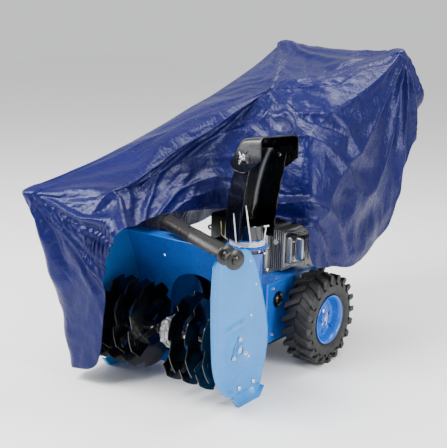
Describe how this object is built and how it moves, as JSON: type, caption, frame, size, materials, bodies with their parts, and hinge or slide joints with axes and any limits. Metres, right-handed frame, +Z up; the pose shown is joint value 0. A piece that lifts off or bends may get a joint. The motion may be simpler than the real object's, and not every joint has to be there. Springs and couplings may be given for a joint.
{
  "type": "two-stage snowblower",
  "caption": "Walk-behind two-stage snowblower with turning chute, tilting deflector, driven wheels, hand levers, clean-out shovel and a draped storage cover.",
  "frame": {"origin": "centre of the bounding box at floor level", "axes": "+Z up; the machine faces -Y, so the auger opening looks along -Y, and +X is the operator's left"},
  "size_m": [0.8264, 1.4038, 1.0961],
  "materials": {
    "painted_blue": "gloss enamel",
    "painted_light_blue": "gloss enamel",
    "painted_black": "gloss enamel",
    "cast_metal": "as cast",
    "steel": "brushed",
    "chrome": "polished",
    "black_plastic": "satin",
    "gloss_black_plastic": "gloss",
    "white_plastic": "satin",
    "tool_plastic": "satin",
    "tyre_rubber": "matt",
    "grip_rubber": "matt",
    "nylon": "smooth woven nylon"
  },
  "bodies": {
    "chassis": {"auger_housing": "painted_blue", "skid_shoe_left": "painted_blue", "skid_shoe_right": "painted_blue", "scraper_bar": "painted_blue", "impeller_drum": "painted_blue", "frame_box": "painted_blue", "side_plate_left": "painted_light_blue", "side_plate_right": "painted_light_blue", "frame_bottom_plate": "painted_black", "handlebar_left": "painted_black", "handlebar_right": "painted_black", "handlebar_brace": "painted_black", "drive_shaft": "painted_black", "chute_collar": "painted_black", "auger_gearbox": "cast_metal", "engine_crankcase": "cast_metal", "engine_cylinder": "cast_metal", "auger_bearing_left": "steel", "auger_bearing_right": "steel", "muffler": "steel", "muffler_guard": "steel", "recoil_cover": "black_plastic", "fuel_tank": "black_plastic", "carburettor_cover": "black_plastic", "belt_cover": "black_plastic", "control_panel": "black_plastic", "auger_cable": "black_plastic", "drive_cable": "black_plastic", "grip_left": "grip_rubber", "grip_right": "grip_rubber"},
    "wheel_set": {"axle": "steel", "rim_left": "painted_blue", "rim_right": "painted_blue", "tyre_left": "tyre_rubber", "tyre_right": "tyre_rubber", "hub_pin_left": "chrome", "hub_pin_right": "chrome"},
    "auger": {"auger_shaft": "steel", "auger_left": "painted_black", "auger_right": "painted_black"},
    "impeller_rotor": {"impeller": "painted_black", "impeller_shaft": "steel"},
    "chute": {"chute_base": "painted_blue", "chute_body": "gloss_black_plastic", "cable_ties": "white_plastic", "chute_tag": "white_plastic"},
    "hood": {"deflector": "gloss_black_plastic", "wing_bolt_left": "chrome", "wing_bolt_right": "chrome"},
    "crank": {"chute_crank": "steel"},
    "left_lever": {"auger_lever": "painted_black"},
    "right_lever": {"drive_lever": "painted_black"},
    "shift_lever": {"speed_lever": "steel"},
    "tank_cap": {"fuel_cap": "black_plastic"},
    "starter_handle": {"recoil_handle": "black_plastic"},
    "choke": {"choke_knob": "black_plastic"},
    "key": {"ignition_key": "black_plastic"},
    "primer": {"primer_bulb": "grip_rubber"},
    "shovel": {"clean_out_tool": "tool_plastic"},
    "cover": {"storage_cover": "nylon"}
  },
  "joints": [
    {"name": "wheel_turn", "type": "hinge", "parent": "chassis", "child": "wheel_set", "pos_m": [0.0266, 0.0658, 0.165], "axis": [1, 0, 0], "continuous": true},
    {"name": "auger_turn", "type": "hinge", "parent": "chassis", "child": "auger", "pos_m": [0.0266, -0.4492, 0.192], "axis": [1, 0, 0], "continuous": true},
    {"name": "impeller_turn", "type": "hinge", "parent": "chassis", "child": "impeller_rotor", "pos_m": [0.0266, -0.2142, 0.222], "axis": [0, 1, 0], "continuous": true},
    {"name": "chute_turn", "type": "hinge", "parent": "chassis", "child": "chute", "pos_m": [0.1366, -0.1842, 0.467], "axis": [0, 0, 1], "range_deg": [-165, 25]},
    {"name": "crank_turn", "type": "hinge", "parent": "chassis", "child": "crank", "pos_m": [0.0411, -0.1792, 0.465], "axis": [-0.0568, 0.893, 0.4465], "range_deg": [-3000, 460]},
    {"name": "deflector_tilt", "type": "hinge", "parent": "chute", "child": "hood", "pos_m": [0.20426, -0.20883, 0.779], "axis": [0.342, 0.9397, 0], "range_deg": [-8, 38]},
    {"name": "auger_lever_squeeze", "type": "hinge", "parent": "chassis", "child": "left_lever", "pos_m": [0.2766, 0.4908, 0.962], "axis": [1, 0, 0], "range_deg": [-44, 0], "stiffness_Nm_per_rad": 0.8, "springref_deg": 22.92},
    {"name": "drive_lever_squeeze", "type": "hinge", "parent": "chassis", "child": "right_lever", "pos_m": [-0.2234, 0.4908, 0.962], "axis": [1, 0, 0], "range_deg": [-44, 0], "stiffness_Nm_per_rad": 0.8, "springref_deg": 22.92},
    {"name": "speed_shift", "type": "hinge", "parent": "chassis", "child": "shift_lever", "pos_m": [0.0266, 0.4578, 0.935], "axis": [1, 0, 0], "range_deg": [-16, 16]},
    {"name": "fuel_cap_turn", "type": "hinge", "parent": "chassis", "child": "tank_cap", "pos_m": [-0.0784, 0.0958, 0.6213], "axis": [0, 0, 1], "range_deg": [0, 90]},
    {"name": "starter_pull", "type": "slide", "parent": "chassis", "child": "starter_handle", "axis": [0, 0.8924, 0.4512], "range_m": [0, 0.22], "stiffness_N_per_m": 20, "springref_m": -0.2},
    {"name": "choke_turn", "type": "hinge", "parent": "chassis", "child": "choke", "pos_m": [-0.179, 0.0758, 0.42], "axis": [1, 0, 0], "range_deg": [0, 75]},
    {"name": "key_pull", "type": "slide", "parent": "chassis", "child": "key", "axis": [-1, 0, 0], "range_m": [0, 0.03]},
    {"name": "primer_press", "type": "slide", "parent": "chassis", "child": "primer", "axis": [1, 0, 0], "range_m": [0, 0.0035], "stiffness_N_per_m": 400},
    {"name": "shovel_lift", "type": "slide", "parent": "chassis", "child": "shovel", "axis": [0, 0, 1], "range_m": [0, 0.25]},
    {"name": "cover_lift", "type": "slide", "parent": "chassis", "child": "cover", "axis": [0, 0, 1], "range_m": [0, 1.2]}
  ],
  "couplings": [
    {"joint": "impeller_turn", "follows": "auger_turn", "ratio": 10},
    {"joint": "crank_turn", "follows": "chute_turn", "ratio": 18}
  ]
}
